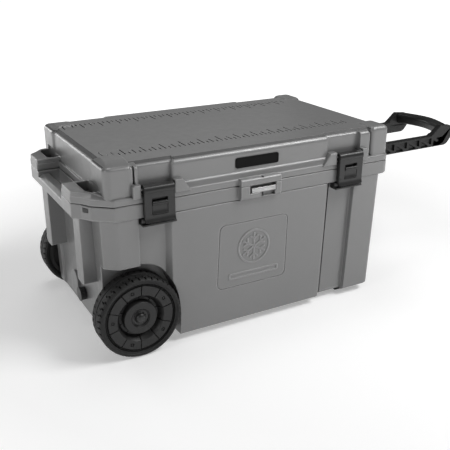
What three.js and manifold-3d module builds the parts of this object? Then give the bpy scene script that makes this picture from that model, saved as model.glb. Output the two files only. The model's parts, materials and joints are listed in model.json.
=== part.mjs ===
// Wheeled cooler: insulated tub and lid, two latches, two wheels and a fold-down trolley handle.
// Millimetres. +X runs along the length to the trolley handle, -Y is the latch side, +Z is up.
import * as THREE from "three";
import { mergeVertices } from "three/addons/utils/BufferGeometryUtils.js";
import Module from "manifold-3d";

const wasm = await Module();
wasm.setup();

// ---- driving dimensions -------------------------------------------------
const CENTRE_X = 176;           // middle of the overall length, moved to the origin at the end
const CLEAR = 0.3;              // gap between pieces that touch
const BODY_BOTTOM = 20;
const RIM_BOTTOM = 368;
const SEAM = 406;               // top of the tub
const SEAM_GAP = 1;
const LID_BOTTOM = SEAM + SEAM_GAP;
const RIM_TOP = 425;
const BLOCK_TOP = 436;
const SLAB_TOP = 502.7;
const LID_TOP = 507;
const SLAB_FILLET = 16;
const HALF_RIM = 262.5;
const RIM_LEFT = -482;
const RIM_RIGHT = 424;
const Y_MAX = 278;
const DRAFT = 8;                // how far the tub walls lean in at the bottom

const LATCH_X = [-293, 276];
const LATCH_HALF = 39.5;
const LATCH_AXIS_Y = -262;
const LATCH_AXIS_Z = 440;
const PIN_R = 3;
const HOOD_R = 12;
const BUTTON_HALF = 20;
const BUTTON_Z = [378, 414];
const BUTTON_TRAVEL = 4;

const HINGE_X = [-260, 260];
const HINGE_HALF = 70;
const KNUCKLE_HALF = 38;
const HINGE_Y = 266;
const HINGE_Z = 406.5;
const KNUCKLE_R = 12;

const WHEEL_X = -354;
const WHEEL_R = 108.5;
const WHEEL_Y = [209.5, 274.8];
const LUGS = 18;
const PADS = 5;
const PAD_START = THREE.MathUtils.degToRad(105);
const PAD_HALF = THREE.MathUtils.degToRad(18.5);
const AXLE_R = 7.5;
const WELL_TOP = 243;
const WELL_RIGHT = -237;
const WELL_Y = 203;

const HANDLE_Y = 102;
const HASP_X = [-70, 49];
const PADLOCK = { x: -6, y: -268.5, r: 4.5 };
const LOCK_BAR = { x: [-39, 33], y: [-274.5, -263.3], z: [385.3, 398] };

const PIVOT_X = 455;
const PIVOT_Z = 382;
const ARM_HALF = 11;
const ARM_Z = [364, 400];
const WALL_RIGHT = 384;         // recessed end wall behind the trolley handle

const INSIDE = { x0: -330, x1: 335, y: 184, z0: 76 };
const LINER_T = 5;
const DRAIN_Y = -22;
const DRAIN_Z = 84;
const END_WALL = -417;

// ---- materials ----------------------------------------------------------
function mat(color, roughness, metalness) {
  return new THREE.MeshStandardMaterial({ color, roughness, metalness });
}
const GREY = mat(0x7b7b7b, 0.55, 0);
const WHITE = mat(0xe4e6e6, 0.45, 0);
const FOAM = mat(0xd8c690, 0.9, 0);
const BLACK = mat(0x1d1d1e, 0.5, 0);
const RUBBER = mat(0x151515, 0.8, 0);
const STEEL = mat(0xc4c6c8, 0.3, 1);

// ---- solid helpers ------------------------------------------------------
function toSolid(geometry) {
  const g = geometry.clone();
  g.deleteAttribute("normal");
  g.deleteAttribute("uv");
  const m = mergeVertices(g, 1e-5);
  const triVerts = new Uint32Array(m.index.array);
  const vertProperties = new Float32Array(m.attributes.position.array);
  return new wasm.Manifold(new wasm.Mesh({ numProp: 3, vertProperties, triVerts }));
}

function toGeometry(solid) {
  const mesh = solid.getMesh();
  const g = new THREE.BufferGeometry();
  g.setAttribute("position", new THREE.BufferAttribute(new Float32Array(mesh.vertProperties), 3));
  g.setIndex(new THREE.BufferAttribute(new Uint32Array(mesh.triVerts), 1));
  return g;
}

function box(x0, x1, y0, y1, z0, z1) {
  const g = new THREE.BoxGeometry(x1 - x0, y1 - y0, z1 - z0);
  g.translate((x0 + x1) / 2, (y0 + y1) / 2, (z0 + z1) / 2);
  return toSolid(g);
}

// A polygon whose corners [x, y, r] are rounded with radius r.
function rounded(corners, steps = 4) {
  const out = [];
  corners.forEach(([x, y, r = 0], i) => {
    if (r === 0) {
      out.push([x, y]);
      return;
    }
    const a = corners[(i + corners.length - 1) % corners.length];
    const b = corners[(i + 1) % corners.length];
    const p = new THREE.Vector2(x, y);
    const u = new THREE.Vector2(a[0] - x, a[1] - y).normalize();
    const v = new THREE.Vector2(b[0] - x, b[1] - y).normalize();
    const half = Math.acos(THREE.MathUtils.clamp(u.dot(v), -1, 1)) / 2;
    const run = r / Math.tan(half);
    const centre = p.clone().addScaledVector(u.clone().add(v).normalize(), r / Math.sin(half));
    const from = p.clone().addScaledVector(u, run).sub(centre);
    const to = p.clone().addScaledVector(v, run).sub(centre);
    const turn = Math.atan2(from.cross(to), from.dot(to));
    for (let k = 0; k <= steps; k++) {
      const c = Math.cos((turn * k) / steps);
      const s = Math.sin((turn * k) / steps);
      out.push([centre.x + from.x * c - from.y * s, centre.y + from.x * s + from.y * c]);
    }
  });
  return out;
}

// Solid through a stack of rings [z, polygon], all with the same number of points.
function loft(rings) {
  const n = rings[0][1].length;
  const flat = rings[0][1].map(([x, y]) => new THREE.Vector2(x, y));
  const up = !THREE.ShapeUtils.isClockWise(flat);
  const caps = THREE.ShapeUtils.triangulateShape(flat, []);
  const position = rings.flatMap(([z, ring]) => ring.flatMap(([x, y]) => [x, y, z]));
  const index = [];
  const face = (a, b, c) => (up ? index.push(a, b, c) : index.push(a, c, b));
  const top = (rings.length - 1) * n;
  const ccw = ([a, b, c]) => {
    const along = flat[b].clone().sub(flat[a]);
    const across = flat[c].clone().sub(flat[a]);
    return along.cross(across) > 0 === up ? [a, b, c] : [a, c, b];
  };
  caps.map(ccw).forEach(([a, b, c]) => {
    face(a, c, b);
    face(top + a, top + b, top + c);
  });
  for (let r = 0; r < rings.length - 1; r++) {
    for (let i = 0; i < n; i++) {
      const j = (i + 1) % n;
      const lo = r * n;
      const hi = lo + n;
      face(lo + i, lo + j, hi + j);
      face(lo + i, hi + j, hi + i);
    }
  }
  const g = new THREE.BufferGeometry();
  g.setAttribute("position", new THREE.Float32BufferAttribute(position, 3));
  g.setIndex(index);
  return toSolid(g);
}

function prismZ(polygon, z0, z1) {
  return loft([[z0, polygon], [z1, polygon]]);
}

function prismY(polygon, y0, y1) {   // polygon of [x, z]
  return loft([[-y1, polygon], [-y0, polygon]]).rotate([90, 0, 0]);
}

function prismX(polygon, x0, x1) {   // polygon of [y, z]
  return loft([[x0, polygon], [x1, polygon]]).rotate([90, 0, 90]);
}

function circle(cx, cy, r, count, from = 0, to = 2 * Math.PI) {
  const closed = to - from > 2 * Math.PI - 1e-6;
  const span = closed ? count : count - 1;
  return Array.from({ length: count }, (_, i) => {
    const a = from + ((to - from) * i) / span;
    return [cx + r * Math.cos(a), cy + r * Math.sin(a)];
  });
}

const discX = (y, z, r, x0, x1, count = 24) => prismX(circle(y, z, r, count), x0, x1);
const discY = (x, z, r, y0, y1, count = 24) => prismY(circle(x, z, r, count), y0, y1);
const discZ = (x, y, r, z0, z1, count = 24) => prismZ(circle(x, y, r, count), z0, z1);

function rect(x0, x1, y0, y1, r, steps = 2) {
  return rounded([[x0, y0, r], [x1, y0, r], [x1, y1, r], [x0, y1, r]], steps);
}

// Rectangle block whose top edge is rounded.
function pillow(x0, x1, y0, y1, r, z0, z1, fillet) {
  const rings = [[z0, rect(x0, x1, y0, y1, r)]];
  [0, 30, 60, 90].forEach((deg) => {
    const a = THREE.MathUtils.degToRad(deg);
    const inset = fillet * (1 - Math.cos(a));
    const ring = rect(x0 + inset, x1 - inset, y0 + inset, y1 - inset, Math.max(r - inset / 2, 2));
    rings.push([z1 - fillet + fillet * Math.sin(a), ring]);
  });
  return loft(rings);
}

const bothSides = (make) => make(-1).add(make(1));
const band = (s, a, b) => (s < 0 ? [-b, -a] : [a, b]);

const group = new THREE.Group();
group.name = "wheeled_cooler";
function piece(name, solid, material) {
  const g = toGeometry(solid.translate([-CENTRE_X, 0, 0]));
  g.computeVertexNormals();
  const mesh = new THREE.Mesh(g, material);
  mesh.name = name;
  group.add(mesh);
}

// ---- outlines -----------------------------------------------------------
const mirrored = (front) => front.concat(front.slice().reverse().map(([x, y, r]) => [x, -y, r]));

function tubOutline(d) {       // plan of the tub walls, pulled in by d
  const front = [
    [END_WALL, -164, 0],
    [-430 + d, -168, 0],
    [-430 + d, -232 + d, 0],
    [-400 + d, -258 + d, 0],
    [-342, -258 + d, 2],
    [-342, -245 + d, 2],
    [-270, -245 + d, 3],
    [-258, -HALF_RIM + d, 3],
    [208 - d, -HALF_RIM + d, 3],
    [214 - d, -245 + d, 3],
    [304 - d, -245 + d, 2],
    [306 - d, -259 + d, 2],
    [398 - d, -259 + d, 15],
    [398 - d, -160, 4],
    [WALL_RIGHT - d, -150, 4],
  ];
  return rounded(mirrored(front), 3);
}

const rimOutline = (d) => rounded(mirrored([
  [RIM_LEFT + d, -181, 0],
  [-463 + d, -198, 0],
  [-448 + d, -226 + d, 0],
  [-403 + d, -HALF_RIM + d, 6],
  [RIM_RIGHT - d, -HALF_RIM + d, 24],
]), 4);

const union = (solids) => solids.reduce((p, q) => p.add(q));
const knuckles = (spans, r) => union(spans.map(([a, b]) => discX(HINGE_Y, HINGE_Z, r, a, b)));
const tubKnuckleX = HINGE_X.flatMap((c) => [
  [c - HINGE_HALF, c - KNUCKLE_HALF],
  [c + KNUCKLE_HALF, c + HINGE_HALF],
]);
const lidKnuckleX = HINGE_X.map((c) => [c - KNUCKLE_HALF + 0.5, c + KNUCKLE_HALF - 0.5]);
const widen = ([a, b]) => [a - 0.5, b + 0.5];

// ---- tub ----------------------------------------------------------------
const wellProfile = [
  [-520, -20], [WELL_RIGHT - 2, -20], [WELL_RIGHT, 85], [-240, 118], [-246, 155], [-262, 192],
  [-282, 220], [-307, 236], [-344, WELL_TOP], [-520, WELL_TOP],
];
const wells = bothSides((s) => prismY(wellProfile, ...band(s, WELL_Y, 320)));

const outerCup = loft([[BODY_BOTTOM, tubOutline(DRAFT)], [RIM_BOTTOM, tubOutline(0)]]);
const rimBody = loft([[RIM_BOTTOM, rimOutline(4)], [RIM_BOTTOM + 4, rimOutline(0)], [SEAM, rimOutline(0)]]);
const fingerGap = box(-454, -424, -106, 106, RIM_BOTTOM - 2, SEAM + 2);
const barTop = box(-490, -452, -106, 106, 398, SEAM + 2);
const ribs = bothSides((s) => prismX([
  [s * 117, 388], [s * 117, 186], [s * 124, 179], [s * 159, 179], [s * 166, 186], [s * 166, 388],
], -461, END_WALL + 10));
const haspSide = [[-255, 371], [-273, 371], [-275.5, 375], [-275.5, SEAM], [-255, SEAM]];
const hasp = prismX(haspSide, ...HASP_X);
const padlockHole = (z0, z1) => discZ(PADLOCK.x, PADLOCK.y, PADLOCK.r, z0, z1, 16);
const lockSlot = box(-45, 34, -280, LOCK_BAR.y[1] + CLEAR, LOCK_BAR.z[0] - CLEAR, SEAM + 2);
const lockScoop = box(-18, 31, -280, -266, 373, LOCK_BAR.z[0]);
const heelCut = prismY([[-440, 10], [-392, 10], [-440, 62]], -WELL_Y - 2, WELL_Y + 2);
const drainBoss = discX(44, 100, 27, -426, END_WALL + 5).add(box(-426, END_WALL + 5, 17, 71, 62, 100));
const footPocket = (s, grow) =>
  box(300 - grow, 360 + grow, ...band(s, 170 - grow, 210 + grow), BODY_BOTTOM - 2, BODY_BOTTOM + 6);

const cavity = box(-410, 376, -WELL_Y + 6, WELL_Y - 6, 28, 400)
  .add(box(-228, 376, -236, 236, 28, 400))
  .add(box(-410, 376, -236, 236, 252, 400));
const linerOuter = (g) => box(INSIDE.x0 - LINER_T - g, INSIDE.x1 + LINER_T + g, -INSIDE.y - LINER_T - g,
  INSIDE.y + LINER_T + g, INSIDE.z0 - LINER_T - g, SEAM + 5);
const linerInner = box(INSIDE.x0, INSIDE.x1, -INSIDE.y, INSIDE.y, INSIDE.z0, SEAM + 6);
const flange = (g) => box(-412 - g, 378 + g, -238 - g, 238 + g, 400 - g, SEAM);
const axleHole = (r) => discY(WHEEL_X, WHEEL_R, r, -300, 300);
const drainHole = (r) => discX(DRAIN_Y, DRAIN_Z, r, -440, INSIDE.x0 + 20, 16);
const insertBox = (s, g) => box(-470, -452, ...band(s, 203 - g, 219 + g), 389 - g, 400 + g);

let tub = outerCup.add(rimBody).add(ribs).add(hasp).subtract(wells).subtract(heelCut).add(drainBoss);
tub = tub.add(knuckles(tubKnuckleX, KNUCKLE_R));
tub = tub.add(union(tubKnuckleX.map(([a, b]) => box(a, b, 250, HINGE_Y + 4, 380, 400))));
tub = tub.subtract(fingerGap).subtract(barTop).subtract(lockSlot).subtract(lockScoop);
tub = tub.subtract(cavity).subtract(flange(CLEAR).add(flange(CLEAR).translate([0, 0, 3])));
tub = tub.subtract(knuckles(lidKnuckleX.map(widen), KNUCKLE_R + 0.8));
tub = tub.subtract(discX(HINGE_Y, HINGE_Z, 4.2, -400, 400));
tub = tub.subtract(padlockHole(360, SEAM + 2));
tub = tub.subtract(axleHole(11 + CLEAR)).subtract(drainHole(9 + CLEAR));
tub = tub.subtract(bothSides((s) => footPocket(s, CLEAR))).subtract(bothSides((s) => insertBox(s, CLEAR)));
piece("tub_shell", tub, GREY);

const liner = linerOuter(0).intersect(box(-500, 500, -300, 300, 0, 401)).add(flange(0))
  .subtract(linerInner).subtract(drainHole(9 + CLEAR));
piece("tub_liner", liner, WHITE);

const foamPart = (x0, half, z0) =>
  box(x0 + CLEAR, 376 - CLEAR, CLEAR - half, half - CLEAR, z0 + CLEAR, 400 - 2 * CLEAR);
const foam = foamPart(-410, WELL_Y - 6, 28).add(foamPart(-228, 236, 28)).add(foamPart(-410, 236, 252))
  .subtract(linerOuter(CLEAR)).subtract(axleHole(11 + CLEAR)).subtract(drainHole(9 + CLEAR));
piece("tub_foam_core", foam, FOAM);

[-1, 1].forEach((s) => {
  const side = s < 0 ? "front" : "rear";
  const foot = footPocket(s, 0).add(box(298, 362, ...band(s, 168, 212), 0, BODY_BOTTOM - CLEAR))
    .subtract(box(290, 370, -250, 250, BODY_BOTTOM + 6 - CLEAR, 40));
  piece(`rubber_foot_${side}`, foot, RUBBER);
  const outside = [[-500, 150], [-500, 260], [-448.5, 226], [-463.5, 198], [-463.5, 150]];
  const insert = insertBox(s, 0).subtract(prismZ(outside.map(([x, y]) => [x, s * y]), 380, 410));
  piece(`seam_insert_${side}`, insert, BLACK);
});

// ---- drain --------------------------------------------------------------
const onDrain = (r, x0, x1, count) => discX(DRAIN_Y, DRAIN_Z, r, x0, x1, count);
const fitting = onDrain(9, -425, INSIDE.x0 - 2, 16).add(onDrain(13, -425, END_WALL - CLEAR, 24))
  .subtract(onDrain(7, -500, 0, 16));
piece("drain_fitting", fitting, BLACK);
const knurls = union(Array.from({ length: 10 }, (_, i) => {
  const a = (i * Math.PI) / 5;
  return discX(DRAIN_Y + 19.4 * Math.cos(a), DRAIN_Z + 19.4 * Math.sin(a), 2.4, -431, -410, 5);
}));
const plug = onDrain(18.5, -431, -418.5, 30).subtract(knurls).add(onDrain(20, -435, -431, 30))
  .subtract(onDrain(13.6, -428, -400, 20)).add(onDrain(6.2, -430, -412, 16));
piece("drain_plug", plug, BLACK);
const plugGasket = onDrain(13, -427.7, -425.3, 24).subtract(onDrain(6.5, -500, 0, 16));
piece("drain_plug_gasket", plugGasket, RUBBER);

// ---- lid ----------------------------------------------------------------
const slab = pillow(-416, 413, -242, 242, 20, LID_BOTTOM, SLAB_TOP, SLAB_FILLET)
  .add(pillow(-246, 214, -253.5, 253.5, 4, RIM_TOP - 5, SLAB_TOP, 12))
  .add(bothSides((s) => pillow(-421, -335, ...band(s, 218, 256), 12, RIM_TOP - 5, LID_TOP, SLAB_FILLET)))
  .add(bothSides((s) => pillow(357, 418, ...band(s, 178, 256), 12, RIM_TOP - 5, LID_TOP, SLAB_FILLET)))
  .add(bothSides((s) => pillow(312, 353, ...band(s, 226, 256), 4, RIM_TOP - 5, SLAB_TOP, 12)));
const rimLid = loft([[LID_BOTTOM, rimOutline(0)], [RIM_TOP - 3, rimOutline(0)], [RIM_TOP, rimOutline(3)]])
  .subtract(box(-500, -421, -113, 113, 400, 440));
const blockPlan = [[-416, 113], [RIM_LEFT, 113], [RIM_LEFT, 181], [-463, 198], [-448, 224], [-416, 232]];
const endBlocks = bothSides((s) => prismZ(blockPlan.map(([x, y]) => [x, s * y]), LID_BOTTOM, BLOCK_TOP));
const endPockets = bothSides((s) => prismZ(rect(-449, -421.5, ...band(s, 122, 200), 5, 2), BLOCK_TOP - 14, 450));
const ledgeSide = [[240, LID_BOTTOM], [262, RIM_TOP - 1], [253, 441], [240, 441]];
const ledge = bothSides((s) => prismX(ledgeSide.map(([y, z]) => [s * y, z]), -246, 214));
const haspTop = [[-252, LID_BOTTOM], [-275.5, LID_BOTTOM], [-275.5, 421], [-271, 425], [-252, 425]];
const haspLid = prismX(haspTop, ...HASP_X);
const ear = (a, b, slope) => prismY([
  [a, RIM_TOP - 5], [b + slope, RIM_TOP - 5], [b, 448], [b - 3, 453], [a + 3, 453], [a, 448],
], -268, -244);
const ears = union(LATCH_X.map((c) => {
  const pair = ear(LATCH_HALF + 3, LATCH_HALF + 28, 20).add(ear(-LATCH_HALF - 24, -LATCH_HALF - 3, 0));
  return (c < 0 ? pair : pair.mirror([1, 0, 0])).translate([c, 0, 0]);
}));
const latchNotch = union(LATCH_X.map((c) =>
  box(c - LATCH_HALF - 3, c + LATCH_HALF + 3, -300, -243, RIM_TOP, 520)));
const latchBore = union(LATCH_X.map((c) =>
  discX(LATCH_AXIS_Y, LATCH_AXIS_Z, PIN_R + CLEAR, c - 58, c + 58, 16)));
const lidCavity = box(-406, 403, -232, 232, 404, 492);

let lid = slab.add(rimLid).add(endBlocks).subtract(endPockets).add(ledge).add(haspLid);
lid = lid.subtract(latchNotch).add(ears).add(knuckles(lidKnuckleX, KNUCKLE_R));
lid = lid.add(union(lidKnuckleX.map(([a, b]) => box(a, b, 250, HINGE_Y + 2, 412, 418))));
lid = lid.subtract(lidCavity);
lid = lid.subtract(knuckles(tubKnuckleX.map(widen), KNUCKLE_R + 0.8));
lid = lid.subtract(discX(HINGE_Y, HINGE_Z, 4.2, -400, 400));
lid = lid.subtract(padlockHole(400, 440)).subtract(latchBore);
piece("lid_shell", lid, GREY);

const GASKET = { x: [-372, 360], y: 212, w: 10 };
const gasketPlan = (d, r) => rect(GASKET.x[0] + d, GASKET.x[1] - d, d - GASKET.y, GASKET.y - d, r);
const gasketRing = (g, z0, z1) => prismZ(gasketPlan(-g, 14), z0, z1)
  .subtract(prismZ(gasketPlan(GASKET.w + g, 8), z0 - 1, z1 + 1));
const inLid = (z0, z1) => box(-406 + CLEAR, 403 - CLEAR, -232 + CLEAR, 232 - CLEAR, z0, z1);
const lidLiner = inLid(LID_BOTTOM, 413)
  .add(box(INSIDE.x0 + 4, INSIDE.x1 - 4, -INSIDE.y + 4, INSIDE.y - 4, SEAM - 9, 413))
  .subtract(gasketRing(CLEAR, LID_BOTTOM - 1, 411));
piece("lid_liner", lidLiner, WHITE);
piece("lid_foam_core", inLid(413 + CLEAR, 492 - CLEAR), FOAM);
piece("lid_gasket", gasketRing(0, SEAM + CLEAR, 411 - CLEAR), RUBBER);

HINGE_X.forEach((c, i) => {
  piece(`lid_hinge_pin_${i ? "right" : "left"}`,
    discX(HINGE_Y, HINGE_Z, 3.9, c - HINGE_HALF - 3, c + HINGE_HALF + 3, 16), STEEL);
});

// ---- nameplate and lock plate -------------------------------------------
piece("nameplate", prismY(rect(-76, 51, 451, 478, 5), -256.5, -253.5 - CLEAR), BLACK);
const lockPlate = box(...LOCK_BAR.x, ...LOCK_BAR.y, ...LOCK_BAR.z)
  .subtract(box(-50, 50, -280, -273.5, 390, 392.5)).subtract(padlockHole(380, 400));
piece("lock_plate", lockPlate, STEEL);

// ---- latches ------------------------------------------------------------
LATCH_X.forEach((c, i) => {
  const side = i ? "right" : "left";
  const x0 = c - LATCH_HALF;
  const x1 = c + LATCH_HALF;
  const hood = circle(LATCH_AXIS_Y, LATCH_AXIS_Z, HOOD_R, 9, 0, Math.PI);
  const plate = [
    [-275.5, 436], [-275.5, 368], [-272, 360], [-266, 357], [-265, 362], [-265, 429], [-253, 430],
  ];
  const recess = box(c - BUTTON_HALF - CLEAR, c + BUTTON_HALF + CLEAR, -280, -266.2,
    BUTTON_Z[0] - CLEAR, BUTTON_Z[1] + CLEAR);
  const latch = prismX(hood.concat(plate), x0, x1).subtract(recess)
    .subtract(discX(LATCH_AXIS_Y, LATCH_AXIS_Z, PIN_R + CLEAR, x0 - 5, x1 + 5, 16));
  piece(`latch_${side}`, latch, BLACK);
  const face = rect(c - BUTTON_HALF, c + BUTTON_HALF, ...BUTTON_Z, 3, 2);
  piece(`latch_button_${side}`, prismY(face, -Y_MAX, -266.5 - BUTTON_TRAVEL), BLACK);
  piece(`latch_pin_${side}`, discX(LATCH_AXIS_Y, LATCH_AXIS_Z, PIN_R, c - 57, c + 57, 16), STEEL);
  const keeper = [
    [-245.3, 349], [-271.5, 349], [-271.5, 353.5], [-264, 356], [-264, RIM_BOTTOM - CLEAR],
    [-245.3, RIM_BOTTOM - CLEAR],
  ];
  piece(`latch_catch_${side}`, prismX(keeper, x0 - 5, x1 + 5).subtract(outerCup), BLACK);
});

// ---- wheels -------------------------------------------------------------
piece("axle", discY(WHEEL_X, WHEEL_R, AXLE_R, -271, 271), STEEL);
piece("axle_tube", discY(WHEEL_X, WHEEL_R, 11, -204.5, 204.5).subtract(axleHole(AXLE_R + CLEAR)), STEEL);

function spin(profile, count) {   // profile of [radius, y], turned about the axle
  const g = new THREE.LatheGeometry(profile.map(([r, y]) => new THREE.Vector2(r, y)), count);
  g.translate(WHEEL_X, 0, WHEEL_R);
  return toSolid(g);
}

[-1, 1].forEach((s) => {
  const side = s < 0 ? "front" : "rear";
  const [yi, yo] = WHEEL_Y;
  const ring = (pts, count = 20) => spin(s < 0 ? pts.map(([r, y]) => [r, -y]).reverse() : pts, count);
  const polar = (r, turn) => [WHEEL_X + Math.cos(turn) * r, WHEEL_R + Math.sin(turn) * r];

  const tyre = ring([
    [92.3, yi + 6], [98, yi + 3], [104, yi + 2], [WHEEL_R, yi + 9], [WHEEL_R, yo - 9], [104, yo],
    [98, yo - 1.5], [92.3, yo - 6], [92.3, yi + 6],
  ], 36);
  const notches = union(Array.from({ length: LUGS }, (_, i) => {
    const turn = (i * 2 * Math.PI) / LUGS;
    const corners = [[-0.025, 104], [0.025, 104], [0.032, 112], [-0.032, 112]];
    return prismY(corners.map(([a, r]) => polar(r, turn + a)), ...band(s, yo - 24, yo + 2));
  }));
  piece(`wheel_${side}_tyre`, tyre.subtract(notches), RUBBER);

  const pads = union(Array.from({ length: PADS }, (_, i) => {
    const mid = PAD_START + (i * 2 * Math.PI) / PADS;
    const arc = (r, n) => circle(WHEEL_X, WHEEL_R, r, n, mid - PAD_HALF, mid + PAD_HALF);
    const outline = arc(86, 5).concat(arc(62, 4).reverse());
    const dimple = discY(...polar(74, mid), 5.5, ...band(s, yo - 7, yo + 3), 8);
    return prismY(outline, ...band(s, yo - 20, yo - 3)).subtract(dimple);
  }));
  const rim = ring([
    [16.3, yi + 2], [30, yi + 2], [30, yi + 12], [80, yi + 12], [80, yi + 8], [92, yi + 8], [92, yo - 6],
    [88, yo - 6], [88, yo - 15], [58, yo - 15], [56, yo - 22], [42, yo - 22], [40, yo - 5], [24, yo - 5],
    [24, yo - 14], [16.3, yo - 14], [16.3, yi + 2],
  ], 36);
  piece(`wheel_${side}_hub`, rim.add(pads), BLACK);
  const bush = [[8, yi + 2], [16, yi + 2], [16, yo - 14], [8, yo - 14], [8, yi + 2]];
  piece(`wheel_${side}_bush`, ring(bush), WHITE);
  piece(`wheel_${side}_cap`, ring([
    [0, yo - 3.2], [12, yo - 3.2], [12, yo - 10], [23.6, yo - 10], [23.6, yo - 5], [18, yo - 0.5],
    [8, yo + 1.8], [0, yo + 2],
  ]), BLACK);
  const washer = [[8, 204.8], [15, 204.8], [15, 207.8], [8, 207.8], [8, 204.8]];
  piece(`axle_washer_${side}`, ring(washer), STEEL);
});

// ---- trolley handle -----------------------------------------------------
const armOutline = rounded([
  [PIVOT_X - 18, ARM_Z[0], 17],
  [800, ARM_Z[0] + 2, 26],
  [822, ARM_Z[0] + 30, 0],
  [818, 428, 6],
  [770, 433, 4],
  [732, ARM_Z[1] + 1, 4],
  [PIVOT_X - 18, ARM_Z[1], 17],
], 4);
const BAYS = 6;
const BAY_START = PIVOT_X + 22;
const BAY = (790 - BAY_START) / BAYS;
const truss = (side) => union(Array.from({ length: BAYS }, (_, i) => {
  const x = BAY_START + i * BAY;
  const y = band(side, ARM_HALF - 6, ARM_HALF + 2);
  const foot = ARM_Z[0] + 6;
  const head = ARM_Z[1] - 6;
  const lower = prismY([[x + 5, foot], [x + BAY - 14, foot], [x + 5, head - 4]], ...y);
  const upper = prismY([[x + BAY - 4, foot + 3], [x + BAY - 4, head], [x + 13, head]], ...y);
  return lower.add(upper);
}));
const GRIP_HALF = 94;
const GRIP_RINGS = 11;
const gripRings = Array.from({ length: GRIP_RINGS }, (_, i) => {
  const y = GRIP_HALF - (2 * GRIP_HALF * i) / (GRIP_RINGS - 1);
  const cx = 798.8 + 14 * Math.cos((Math.PI * y) / 230) ** 2 - 0.0012 * y * y;
  return [-y, rounded([
    [cx - 23, 431, 10], [cx - 15, 398, 8], [cx + 17, 396, 10], [cx + 22, 424, 8], [cx + 13, 432, 6],
  ], 3)];
});
[-1, 1].forEach((s) => {
  const side = s < 0 ? "front" : "rear";
  const y0 = s * HANDLE_Y;
  const onPivot = (r, a, b) => discY(PIVOT_X, PIVOT_Z, r, ...band(s, a, b));
  const arm = prismY(armOutline, y0 - ARM_HALF, y0 + ARM_HALF).subtract(truss(s).translate([0, y0, 0]))
    .subtract(onPivot(5 + CLEAR, HANDLE_Y - 20, HANDLE_Y + 20))
    .subtract(box(740, 860, ...band(s, 80, GRIP_HALF + CLEAR), 390, 440));
  piece(`handle_arm_${side}`, arm, BLACK);
  const foot = [[y0 - 30, 296], [y0 + 30, 296], [y0 + 30, 362], [y0 - 30, 362]];
  const cheek = rounded([
    [WALL_RIGHT + 5, 300], [WALL_RIGHT + 20, 300], [440, 352, 10], [PIVOT_X + 17, 362, 8],
    [PIVOT_X + 17, 401, 10], [430, 401], [430, 364, 3], [WALL_RIGHT + 5, 362],
  ], 3);
  const armSlot = box(400, 520, y0 - ARM_HALF - 0.6, y0 + ARM_HALF + 0.6, 340, 420);
  const onBolt = (t, r, a, b, count) => discX(y0 + t * 23.5, 329, r, WALL_RIGHT + a, WALL_RIGHT + b, count);
  const bracket = prismX(foot, WALL_RIGHT + CLEAR, WALL_RIGHT + 8)
    .add(prismY(cheek, y0 - 17, y0 + 17)).subtract(armSlot)
    .subtract(onPivot(5 + CLEAR, HANDLE_Y - 30, HANDLE_Y + 30))
    .subtract(onBolt(-1, 4, -5, 20, 12)).subtract(onBolt(1, 4, -5, 20, 12));
  piece(`handle_bracket_${side}`, bracket, BLACK);
  const pin = onPivot(5, HANDLE_Y - 19, HANDLE_Y + 19).add(onPivot(8, HANDLE_Y + 17.3, HANDLE_Y + 20));
  piece(`handle_pivot_pin_${side}`, pin, STEEL);
  [[-1, "a"], [1, "b"]].forEach(([t, letter]) => {
    const bolt = onBolt(t, 6, 8 + CLEAR, 12, 6).add(onBolt(t, 3.5, CLEAR, 9, 12));
    piece(`handle_bracket_bolt_${side}_${letter}`, bolt, STEEL);
  });
});
piece("handle_grip", loft(gripRings).rotate([90, 0, 0]), BLACK);

export default group;
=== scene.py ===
import json
import math

import bmesh
import bpy
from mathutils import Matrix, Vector


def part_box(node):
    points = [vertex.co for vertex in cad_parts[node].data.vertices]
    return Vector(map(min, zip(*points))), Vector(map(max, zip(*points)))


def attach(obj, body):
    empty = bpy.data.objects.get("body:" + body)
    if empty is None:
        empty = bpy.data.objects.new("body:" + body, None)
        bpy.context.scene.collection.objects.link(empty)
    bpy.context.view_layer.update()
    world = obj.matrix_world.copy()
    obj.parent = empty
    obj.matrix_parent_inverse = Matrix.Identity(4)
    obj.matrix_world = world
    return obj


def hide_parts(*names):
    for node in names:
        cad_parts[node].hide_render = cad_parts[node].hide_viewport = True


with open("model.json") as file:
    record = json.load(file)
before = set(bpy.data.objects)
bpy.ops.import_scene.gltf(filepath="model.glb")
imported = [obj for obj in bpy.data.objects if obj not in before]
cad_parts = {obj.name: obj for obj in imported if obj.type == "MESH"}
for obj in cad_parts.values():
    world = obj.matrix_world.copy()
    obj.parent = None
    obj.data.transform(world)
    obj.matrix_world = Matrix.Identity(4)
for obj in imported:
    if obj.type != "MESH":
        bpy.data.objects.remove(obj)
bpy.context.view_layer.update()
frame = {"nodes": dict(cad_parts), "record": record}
scene = bpy.context.scene

# ---- dimensions, in millimetres, X being zero midway between the hinges -
MM = 0.001
SIDES = ("left", "right")

# this X becomes the frame's origin when a piece is finished
hinge_pins = [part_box(f"lid_hinge_pin_{word}") for word in SIDES]
CENTRE_X = -round((hinge_pins[0][0][0] + hinge_pins[1][1][0]) / 2 / MM, 1)


def span(node, axis):
    """Lowest and highest place of a CAD node along X, Y or Z, to a tenth of a millimetre."""
    shift = CENTRE_X if axis == "x" else 0
    low, high = (corner["xyz".index(axis)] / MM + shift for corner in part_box(node))
    return round(low, 1), round(high, 1)


def middle(node, axes):
    """Centre of a CAD node's box along the given axes."""
    return tuple(sum(span(node, axis)) / 2 for axis in axes)


# heights
BODY_BOTTOM = span("tub_shell", "z")[0]
RIM_BOTTOM = 368
SEAM = span("tub_liner", "z")[1]
LID_BOTTOM = SEAM + 1
RIM_TOP = 425
BLOCK_TOP = 436
PANEL_TOP = 502.7
SLAB_TOP = 498.2
PAD_TOP = span("lid_shell", "z")[1]

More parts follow.
